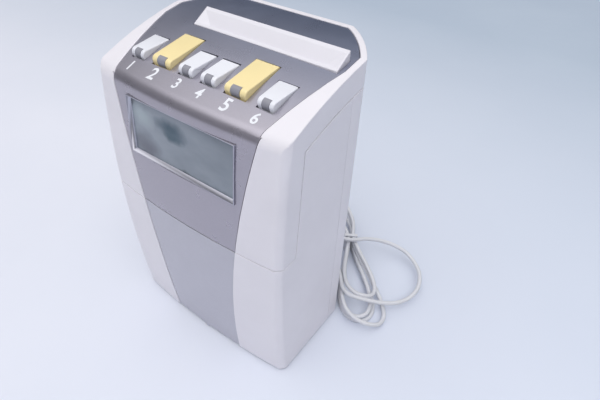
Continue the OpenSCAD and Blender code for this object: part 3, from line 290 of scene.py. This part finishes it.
def board(name, colour):
    """Printed board: solder mask with tracks under it."""
    g = Graph(name)
    dark, light = shades(colour, 0.25)
    bricks = g.add("ShaderNodeTexBrick")
    bricks.inputs["Scale"].default_value = 90
    bricks.inputs["Mortar Size"].default_value = 0.04
    bricks.inputs["Color1"].default_value = colour
    bricks.inputs["Color2"].default_value = light
    bricks.inputs["Mortar"].default_value = dark
    g.link(g.place, bricks.inputs["Vector"])
    g.set(Base_Color=bricks.outputs["Color"], Roughness=g.span(g.noise(200, 3), 0.3, 0.45),
          Normal=g.bump(bricks.outputs["Fac"], 0.1))
    return g.material


def laminations(name):
    """Transformer: stacked iron sheets, with patches of copper wire."""
    g = Graph(name)
    sheets = g.noise(1, 2, 0.5, g.stretched((30, 1800, 30)))
    iron = g.blend(sheets, lin(70, 70, 74), lin(138, 140, 146), 0.35, 0.65)
    turns = g.noise(1, 2, 0.5, g.stretched((60, 60, 2600)))
    wire = g.blend(turns, lin(120, 66, 34), lin(186, 118, 66), 0.35, 0.65)
    patches = g.span(g.noise(9, 1), 0.0, 1.0, 0.56, 0.6)
    g.set(Base_Color=g.mix(patches, iron, wire), Metallic=0.7, Roughness=g.span(sheets, 0.35, 0.55),
          Normal=g.bump(sheets, 0.3, 0.0003))
    return g.material


def plug_material(name, blade_length):
    """White moulded plug whose blades, at its low X end, are plated metal. Lengths are in metres."""
    g = Graph(name)
    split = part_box("plug")[0][0] + blade_length
    blade = g.span(g.axis("X"), 1.0, 0.0, split - 0.0001, split + 0.0001)
    skin = g.blend(g.noise(24, 5), lin(216, 217, 222), lin(228, 229, 234))
    marks = g.noise(4, 4, 0.6, g.stretched((300, 30, 30)))
    plate = g.blend(marks, lin(186, 178, 150), lin(214, 208, 188))
    g.set(Base_Color=g.mix(blade, skin, plate), Metallic=blade,
          Roughness=g.span(g.noise(120, 3), 0.28, 0.44), Normal=g.bump(g.noise(1800, 2), 0.04))
    return g.material


# Materials of the clock

WHITE = plastic("white_plastic", lin(235, 232, 238), spread=0.025)
HOPPER = plastic("white_hopper_plastic", lin(230, 228, 235), spread=0.02)
# The far colours are painted darker reflection towards the back of each panel
UPPER = lacquer("upper_panel_lacquer", lin(172, 168, 178), far=lin(132, 142, 168))
LOWER = lacquer("lower_panel_lacquer", lin(192, 191, 201), far=lin(176, 178, 190),
                metallic=0.35, rough=(0.36, 0.45))
BEZEL = metal("bezel_silver", lin(188, 188, 198), rough=(0.34, 0.42), brush=(60, 40, 40),
              depth=0.01, spread=0.03)
KEY_WHITE = plastic("key_white", lin(238, 239, 246), spread=0.02, rough=(0.28, 0.36),
                    grain=3200, depth=0.03)
KEY_YELLOW = plastic("key_yellow", lin(250, 231, 174), spread=0.03, rough=(0.28, 0.36),
                     grain=3200, depth=0.03)
INSET = plastic("key_inset_grey", lin(148, 148, 157), spread=0.06, rough=(0.35, 0.5), depth=0.06)
PRINT = plastic("white_print", lin(236, 238, 244), spread=0.03, rough=(0.5, 0.6), grain=4000, depth=0.02)
FACE = plastic("display_face", lin(128, 143, 148), rough=(0.14, 0.22), grain=900, depth=0.02)
DARK = plastic("dark_plastic", lin(52, 53, 58), spread=0.12, rough=(0.35, 0.5), grain=2200, depth=0.08)
RUBBER = plastic("rubber", lin(58, 58, 62), spread=0.15, rough=(0.65, 0.8), grain=1500, depth=0.15)
PVC = plastic("cord_pvc", lin(222, 223, 228), spread=0.03, rough=(0.42, 0.5),
              grain=1800, depth=0.04, specular=0.4)
NYLON = plastic("gear_nylon", lin(226, 221, 202), spread=0.04, rough=(0.35, 0.48), grain=1800)
BATTERY = plastic("battery_wrap", lin(56, 92, 150), spread=0.08, rough=(0.25, 0.4), grain=900)
STEEL = metal("zinc_steel", lin(176, 180, 188), rough=(0.28, 0.42), brush=(40, 40, 300))
CAN = metal("motor_can", lin(158, 160, 164), rough=(0.3, 0.45), brush=(300, 40, 40))
BRASS = metal("brass", lin(198, 168, 104), rough=(0.22, 0.35), brush=(300, 30, 30))
SHAFT = metal("bright_shaft", lin(200, 203, 208), rough=(0.15, 0.25), brush=(20, 400, 400))
WINDOW = display_glazing("display_window_glazing")
BOARD = board("board_green", lin(48, 98, 66))
IRON = laminations("transformer_iron")
PLUG = plug_material("plug_white", blade_length=0.0181)


# Cord: the lead, the hank and the tail as one line, in millimetres as in the construction

def unit(v):
    v = np.asarray(v, float)
    return v / np.linalg.norm(v)


CORD_D = 3.6
CORD_R = CORD_D / 2
TURN_GAP = 0.8
LEVEL = CORD_D + TURN_GAP
WAIST = np.array([46.0, 96.0])
HANK_U = unit([0.55, -0.835])
HANK_V = np.array([-HANK_U[1], HANK_U[0]])
WAIST_HALF = 2.4
WAIST_LIFT = 1.2
RINGS = 12
OPEN_RINGS = 3
STEPS = 8
# Each front loop's reach, half width and shift, and the sideways places between which it comes down
FRONT_LOOPS = [
    [84.7, 14.4, 5.6, 98, 99], [83.8, 13.1, 3.7, 98, 99],
    [92.6, 18.4, 12.4, 3.2, 36.8], [68, 13, 9, 3.7, 45.4],
]
# Each rear loop's reach, half width and shift, and its turn in degrees, which is full at REAR_BEND
REAR_LOOPS = [
    [84.4, 14.6, -5.9, 19.4], [83.2, 16.2, -11.8, 21.5], [80, 15.8, -7.3, 19.4], [79.5, 14.4, -6, 19.5],
]
REAR_BEND = 60
RISE_START = math.radians(18)
RISE_END = math.radians(90)
LEAD = [
    [24, 64, 20], [27.6, 64, 20], [33, 64, 19.8], [42, 63, 18.9], [51, 59.5, 17.6], [59.5, 53.5, 16.6],
    [66.5, 46, 16], [72.5, 39.5, 15.8], [80, 36.5, 15.8], [89, 38.5, 15.6], [98, 43, 14.2],
    [107.5, 49.5, 12], [116, 58, 10.5], [122, 70, 10], [123, 84, 10], [117.1, 99.9, 9.6],
    [106.9, 109.9, 10], [95.5, 114.8, 11.5], [83.3, 113.9, 14], [70.8, 108.2, 17], [60.2, 99.5, 19.6],
    [52.6, 89.9, 21.2], [47.9, 86.1, 22], [42, 84.4, 22.2], [35.9, 85.3, 21.9], [31.1, 88.2, 21.4],
    [22.2, 95.3, 21.1], [12.7, 101.6, 20.8], [3.1, 107.7, 20.7],
]
TAIL = [
    [36.6, 104.6, 2.4], [31.5, 108, 1.8], [25, 109.6, 1.8], [17, 109.3, 1.8], [9, 107.3, 2.2],
    [0, 104, 4], [-8, 102, 6.6], [-15, 101, 8.2], [-20, 101, 8.5], [-23.6, 101, 8.5],
]


def ease(a, b, x):
    """0 up to a, 1 from b, and a smooth step between them."""
    t = max(0.0, min(1.0, (x - a) / (b - a)))
    return t * t * (3 - 2 * t)


def side_way(half, shift, a, hand):
    """How far a loop lies to the side of the hank's middle at an angle along it."""
    out = max(0.0, math.sin(a))
    return hand * (WAIST_HALF * math.cos(a) + half * math.sin(2 * a) * out ** 0.5) + shift * out ** 1.3


def front_loop(k, a):
    reach, half, shift, high, low = FRONT_LOOPS[k]
    v = side_way(half, shift, a, -1)
    z = CORD_R + WAIST_LIFT * math.cos(a) ** 2 + k * LEVEL * (1 - ease(high, low, v))
    return [reach * math.sin(a), v, z]


def rear_loop(k, a):
    reach, half, shift, bend = REAR_LOOPS[k]
    u = -reach * math.sin(a)
    v = side_way(half, shift, a, 1)
    t = math.radians(bend) * ease(0, REAR_BEND, -u)
    z = CORD_R + WAIST_LIFT + LEVEL * (k + ease(RISE_START, RISE_END, a))
    return [u * math.cos(t) - v * math.sin(t), u * math.sin(t) + v * math.cos(t), z]


def cord_points():
    """The whole way of the cord from the gland's relief to the plug's, in millimetres."""
    local = [[-CORD_D, -WAIST_HALF, CORD_R + WAIST_LIFT]]
    for k in range(len(REAR_LOOPS)):
        left = OPEN_RINGS if k == len(REAR_LOOPS) - 1 else 1
        local += [front_loop(k, math.pi * i / RINGS) for i in range(RINGS + 1)]
        local += [rear_loop(k, math.pi * i / RINGS) for i in range(1, RINGS + 1 - left)]
    hank = [np.append(WAIST + p[0] * HANK_U + p[1] * HANK_V, p[2]) for p in local]
    return np.array(LEAD + [list(p) for p in hank[::-1]] + TAIL, float)


def smooth_line(p, n):
    """A centripetal Catmull-Rom line through the points, n steps to each."""
    p = np.concatenate([[2 * p[0] - p[1]], p, [2 * p[-1] - p[-2]]])
    out = []
    for i in range(1, len(p) - 2):
        p0, p1, p2, p3 = p[i - 1:i + 3]
        t1 = np.linalg.norm(p1 - p0) ** 0.5
        t2 = t1 + np.linalg.norm(p2 - p1) ** 0.5
        t3 = t2 + np.linalg.norm(p3 - p2) ** 0.5
        for t in t1 + (t2 - t1) * np.arange(n) / n:
            a1 = (t1 - t) / t1 * p0 + t / t1 * p1
            a2 = (t2 - t) / (t2 - t1) * p1 + (t - t1) / (t2 - t1) * p2
            a3 = (t3 - t) / (t3 - t2) * p2 + (t - t2) / (t3 - t2) * p3
            b1 = (t2 - t) / t2 * a1 + t / t2 * a2
            b2 = (t3 - t) / (t3 - t1) * a2 + (t - t1) / (t3 - t1) * a3
            out.append((t2 - t) / (t2 - t1) * b1 + (t - t1) / (t2 - t1) * b2)
    return np.array(out + [p[-2]])


def make_cord():
    line = smooth_line(cord_points(), STEPS) * MM
    line[:, 2] = np.maximum(line[:, 2], CORD_R * MM)
    curve = bpy.data.curves.new("mains_lead", "CURVE")
    curve.dimensions = "3D"
    spline = curve.splines.new("POLY")
    spline.points.add(len(line) - 1)
    for point, place in zip(spline.points, line):
        point.co = (*place, 1.0)
    curve.bevel_depth = CORD_R * MM
    curve.bevel_resolution = 4
    curve.use_fill_caps = True
    cord = bpy.data.objects.new("mains_lead", curve)
    scene.collection.objects.link(cord)
    curve.materials.append(PVC)
    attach(cord, "case")
    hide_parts("cord_lead", "cord_hank")


make_cord()


# Materials of the CAD nodes

def paint(material, *names):
    for name in names:
        node = nodes[name]
        node.data.materials.clear()
        node.data.materials.append(material)


paint(WHITE, "base_plate", "lower_case", "rear_cover", "top_cover")
paint(HOPPER, "card_hopper")
paint(UPPER, "control_panel")
paint(LOWER, "lower_front_panel")
paint(BEZEL, "display_bezel")
paint(WINDOW, "display_window")
paint(KEY_WHITE, "key_1", "key_3", "key_4", "key_6")
paint(KEY_YELLOW, "key_2", "key_5")
paint(INSET, *[f"key_mark_{k + 1}" for k in range(KEY_COUNT)])
paint(RUBBER, "rubber_feet", "feed_rollers", "pinch_rollers", "carriage_belt")
paint(STEEL, "base_screws", "rear_screws", "chassis_left", "chassis_right", "chassis_bridge")
paint(STEEL, "display_bracket", "pinch_arm", "drive_tray", "card_guide_front", "card_guide_rear")
paint(CAN, "feed_motor", "carriage_motor", "print_head")
paint(SHAFT, "key_pins", "feed_shaft", "carriage_rods")
paint(BRASS, "motor_pinion")
paint(BOARD, "key_board", "display_board", "main_board")
paint(FACE, "display_module")
paint(DARK, "key_switches", "print_carriage", "ribbon_cartridge", "board_parts")
paint(BATTERY, "backup_battery")
paint(IRON, "transformer")
paint(NYLON, "feed_gear", "drive_pulley", "idler_pulley")
paint(PVC, "cord_gland", "cord_tie")
paint(PLUG, "plug")


# Rounded edges

# The least turn, in degrees, of an edge that counts as a ridge or a corner
SHARP_TURN = 28
# Points closer than this, in metres, are one point
SAME_SPOT = 1e-6


def turn(one, other):
    """The angle in degrees between two faces at an edge, above 0 on a ridge and below 0 in a corner."""
    angle = math.degrees(one.normal.angle(other.normal, 0.0))
    return angle if one.normal.dot(other.center - one.center) < 0 else -angle


def edge_turns(mesh):
    """The turn at each edge of the mesh, or 0 where it doesn't part two faces."""
    spots = np.zeros(len(mesh.vertices) * 3)
    mesh.vertices.foreach_get("co", spots)
    cells = np.round(spots.reshape(-1, 3) / SAME_SPOT).astype(int)
    same = np.unique(cells, axis=0, return_inverse=True)[1].ravel()
    faces = {}
    for face in mesh.polygons:
        for a, b in face.edge_keys:
            faces.setdefault(tuple(sorted((same[a], same[b]))), []).append(face)
    ends = [tuple(sorted((same[e.vertices[0]], same[e.vertices[1]]))) for e in mesh.edges]
    pairs = [faces.get(end, []) for end in ends]
    return [turn(*pair) if len(pair) == 2 else 0.0 for pair in pairs]


def shade(mesh, smooth):
    mesh.polygons.foreach_set("use_smooth", [smooth] * len(mesh.polygons))


def soften(width, *names, flat_angle=0.3, curved=True):
    """Rounds the ridges of CAD nodes to a width in millimetres, and keeps their inner corners sharp."""
    for name in names:
        node = nodes[name]
        mesh = node.data
        turns = edge_turns(mesh)
        weights = mesh.attributes.new("bevel_weight_edge", "FLOAT", "EDGE")
        weights.data.foreach_set("value", [float(t > SHARP_TURN) for t in turns])
        mesh.edges.foreach_set("use_edge_sharp", [t < -SHARP_TURN for t in turns])
        weld = node.modifiers.new("weld", "WELD")
        weld.merge_threshold = SAME_SPOT
        flat = node.modifiers.new("flat", "DECIMATE")
        flat.decimate_type = "DISSOLVE"
        flat.angle_limit = math.radians(flat_angle)
        edges = node.modifiers.new("edges", "BEVEL")
        edges.limit_method = "WEIGHT"
        edges.width = width * MM
        edges.segments = 3
        edges.use_clamp_overlap = False
        if curved:
            normals = node.modifiers.new("normals", "WEIGHTED_NORMAL")
            normals.keep_sharp = True
        else:
            shade(mesh, False)


for node in nodes.values():
    shade(node.data, True)
soften(0.6, "top_cover")
soften(0.25, "lower_case", "rear_cover", "lower_front_panel")
soften(0.35, "card_hopper", curved=False)
soften(0.15, "control_panel", "display_bezel", flat_angle=0.05)
soften(0.7, *[f"key_{k + 1}" for k in range(KEY_COUNT)])
for node in nodes.values():
    if not node.modifiers:
        node.data.set_sharp_from_angle(angle=math.radians(SHARP_TURN))


# Numbers printed on the panel in front of the keys, in millimetres

# Each number's place across the panel and its size
NUMBERS = ((-49.4, 9.5), (-29.2, 11.5), (-9.3, 9.5), (8.5, 9.5), (28.3, 11.5), (48.6, 9.5))
NUMBER_ROW_Y = -38.6
# How far the outline is spread, as a share of the number's size
PRINT_SPREAD = 0.02
# Longer edges are divided, so that the print follows the panel
LONGEST_EDGE = 1.5
PRINT_LIFT = 0.06
ABOVE_CLOCK = 300
panel = nodes["control_panel"].data
panel_tree = BVHTree.FromPolygons([v.co for v in panel.vertices], [p.vertices for p in panel.polygons])


def on_panel(x, y):
    """A spot just above the control panel, in metres."""
    spot = panel_tree.ray_cast(Vector((x, y, ABOVE_CLOCK)) * MM, Vector((0, 0, -1)))[0]
    return spot + Vector((0, 0, PRINT_LIFT * MM))


def number(text, x, size):
    font = bpy.data.curves.new("number", "FONT")
    font.body = text
    font.align_x = "CENTER"
    font.align_y = "CENTER"
    font.size = size
    font.offset = PRINT_SPREAD * size
    flat = bpy.data.objects.new("number", font)
    scene.collection.objects.link(flat)
    graph = bpy.context.evaluated_depsgraph_get()
    mesh = bpy.data.meshes.new_from_object(flat.evaluated_get(graph))
    bpy.data.objects.remove(flat)
    body = bmesh.new()
    body.from_mesh(mesh)
    bmesh.ops.triangulate(body, faces=body.faces[:])
    long_edges = [e for e in body.edges if e.calc_length() > LONGEST_EDGE]
    bmesh.ops.subdivide_edges(body, edges=long_edges, cuts=2)
    for v in body.verts:
        v.co = on_panel(x + v.co.x, NUMBER_ROW_Y + v.co.y)
    body.to_mesh(mesh)
    body.free()
    mesh.materials.clear()
    mesh.materials.append(PRINT)
    piece = bpy.data.objects.new(f"key_number_{text}", mesh)
    scene.collection.objects.link(piece)
    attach(piece, "cover")


for k, (x, size) in enumerate(NUMBERS):
    number(str(k + 1), x, size)


# Floor, light and world, in metres

FLOOR_HALF = 6
WORLD_STRENGTH = 1.95
# The brighter part of the world lies this way, above the front
BRIGHT_WAY = (0.0, -0.5, 0.866)


def make_floor():
    mesh = bpy.data.meshes.new("floor")
    corners = [(x * FLOOR_HALF, y * FLOOR_HALF, 0) for x, y in ((-1, -1), (1, -1), (1, 1), (-1, 1))]
    mesh.from_pydata(corners, [], [(0, 1, 2, 3)])
    floor = bpy.data.objects.new("floor", mesh)
    scene.collection.objects.link(floor)
    g = Graph("floor_paper")
    # Painted light and shade: the floor is lighter towards the left and the near side, and darker towards
    # the far side
    left = g.blend(g.noise(3, 4), lin(226, 229, 240), lin(231, 233, 243))
    right_painted_shade = g.blend(g.noise(3, 4), lin(215, 222, 237), lin(220, 226, 240))
    near_painted_light = g.mix(g.span(g.axis("X"), 0.0, 1.0, -0.25, 0.3), left, right_painted_shade)
    far = g.blend(g.noise(2, 3), lin(178, 191, 208), lin(188, 200, 215))
    place = g.span(g.axis("Y"), 0.0, 1.0, 0.05, 0.75)
    g.set(Base_Color=g.mix(place, near_painted_light, far), Roughness=g.span(g.noise(40, 3), 0.6, 0.75),
          Specular_IOR_Level=0.2)
    mesh.materials.append(g.material)


def area(name, place, target, size, power):
    """A round lamp that shines from a place to a target."""
    data = bpy.data.lights.new(name, "AREA")
    data.shape = "DISK"
    data.size = size
    data.energy = power
    lamp = bpy.data.objects.new(name, data)
    lamp.location = place
    lamp.rotation_euler = (Vector(target) - Vector(place)).to_track_quat("-Z", "Y").to_euler()
    scene.collection.objects.link(lamp)


def make_world():
    """Soft light that grows with the height, and towards the bright way."""
    world = bpy.data.worlds.new("studio")
    world.use_nodes = True
    tree = world.node_tree
    back = tree.nodes["Background"]
    place = tree.nodes.new("ShaderNodeTexCoord")
    split = tree.nodes.new("ShaderNodeSeparateXYZ")
    lean = tree.nodes.new("ShaderNodeVectorMath")
    lean.operation = "DOT_PRODUCT"
    lean.inputs[1].default_value = BRIGHT_WAY
    tree.links.new(place.outputs["Generated"], split.inputs[0])
    tree.links.new(place.outputs["Generated"], lean.inputs[0])
    height = colour_ramp(tree, split.outputs["Z"], [(0.5, (0.16, 0.16, 0.175, 1)), (0.7, (1, 1, 1, 1))])
    front = colour_ramp(tree, lean.outputs["Value"], [
        (0.3, (0.3, 0.31, 0.33, 1)), (0.76, (0.7, 0.7, 0.71, 1)), (0.93, (0.96, 0.96, 0.96, 1)),
    ])
    both = tree.nodes.new("ShaderNodeMix")
    both.data_type = "RGBA"
    both.blend_type = "MULTIPLY"
    both.inputs[0].default_value = 1.0
    tree.links.new(height, both.inputs[6])
    tree.links.new(front, both.inputs[7])
    tree.links.new(both.outputs[2], back.inputs["Color"])
    back.inputs["Strength"].default_value = WORLD_STRENGTH
    scene.world = world


make_floor()
make_world()
area("key_light", place=(0.5, -0.5, 1.5), target=(0, 0, 0.1), size=1.2, power=4)
scene.view_settings.view_transform = "Standard"
